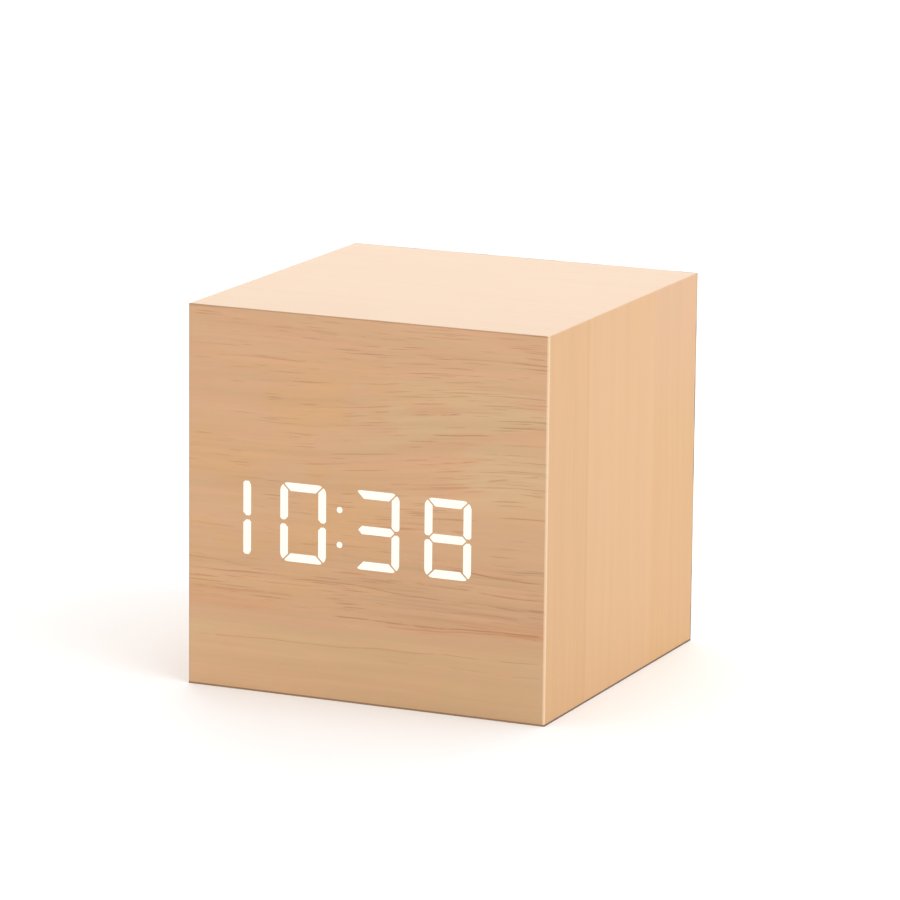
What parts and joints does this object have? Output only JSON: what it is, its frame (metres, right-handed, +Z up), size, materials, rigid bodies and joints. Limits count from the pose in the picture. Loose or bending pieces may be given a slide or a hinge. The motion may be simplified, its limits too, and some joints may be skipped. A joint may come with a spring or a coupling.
{
  "type": "desk clock",
  "caption": "Wood-grain cube desk clock with white seven-segment digits that shine through its front, and a battery door, buttons and power socket at the back.",
  "frame": {"origin": "centre of the underside", "axes": "+Z up; the digits face -Y; +X is to the right of someone who reads them"},
  "size_m": [0.062, 0.062, 0.062],
  "materials": {
    "wood_film": "satin",
    "fibreboard": "matte",
    "lit_segment": "matte",
    "white_plastic": "satin",
    "light_guide": "gloss",
    "led": "gloss",
    "circuit_board": "satin",
    "steel": "satin",
    "tinned_metal": "satin",
    "nickel_contact": "satin",
    "black_plastic": "satin",
    "button_plastic": "satin",
    "capacitor_sleeve": "gloss",
    "ribbon": "satin",
    "cell_can": "satin",
    "cell_sleeve": "gloss",
    "red_wire": "satin",
    "black_wire": "satin"
  },
  "bodies": {
    "case": {"front_film": "wood_film", "wrap_film": "wood_film", "base_film": "wood_film", "rear_edge_film": "wood_film", "left_board": "fibreboard", "right_board": "fibreboard", "top_board": "fibreboard", "bottom_board": "fibreboard", "front_board": "fibreboard", "corner_blocks": "fibreboard", "digit_hour_tens": "lit_segment", "digit_hour_units": "lit_segment", "colon_dots": "lit_segment", "digit_minute_tens": "lit_segment", "digit_minute_units": "lit_segment", "display_block": "white_plastic", "light_guides": "light_guide", "segment_leds": "led", "display_board": "circuit_board", "control_board": "circuit_board", "board_spacers": "white_plastic", "board_screws": "steel", "panel_screws": "steel", "control_board_screws": "steel", "clock_chip": "black_plastic", "chip_leads": "tinned_metal", "crystal": "tinned_metal", "buzzer": "black_plastic", "filter_capacitor": "capacitor_sleeve", "resistors": "black_plastic", "thermistor": "black_plastic", "display_connector": "white_plastic", "control_connector": "white_plastic", "ribbon_cable": "ribbon", "rear_panel": "black_plastic", "battery_cells": "cell_can", "battery_sleeves": "cell_sleeve", "contact_plates": "nickel_contact", "contact_springs": "nickel_contact", "tact_switches": "black_plastic", "jack_body": "black_plastic", "jack_pin": "nickel_contact", "jack_contact": "nickel_contact", "positive_lead": "red_wire", "negative_lead": "black_wire", "jack_leads": "black_wire"},
    "battery_door": {"battery_door": "black_plastic"},
    "set_button": {"set_button": "button_plastic", "set_plunger": "black_plastic"},
    "up_button": {"up_button": "button_plastic", "up_plunger": "black_plastic"},
    "down_button": {"down_button": "button_plastic", "down_plunger": "black_plastic"}
  },
  "joints": [
    {"name": "battery_door_hinge", "type": "hinge", "parent": "case", "child": "battery_door", "pos_m": [0, 0.029, 0.0128], "axis": [-1, 0, 0], "range_deg": [0, 95]},
    {"name": "set_button_press", "type": "slide", "parent": "case", "child": "set_button", "axis": [0, -1, 0], "range_m": [0, 0.00025], "stiffness_N_per_m": 4000},
    {"name": "up_button_press", "type": "slide", "parent": "case", "child": "up_button", "axis": [0, -1, 0], "range_m": [0, 0.00025], "stiffness_N_per_m": 4000},
    {"name": "down_button_press", "type": "slide", "parent": "case", "child": "down_button", "axis": [0, -1, 0], "range_m": [0, 0.00025], "stiffness_N_per_m": 4000}
  ]
}
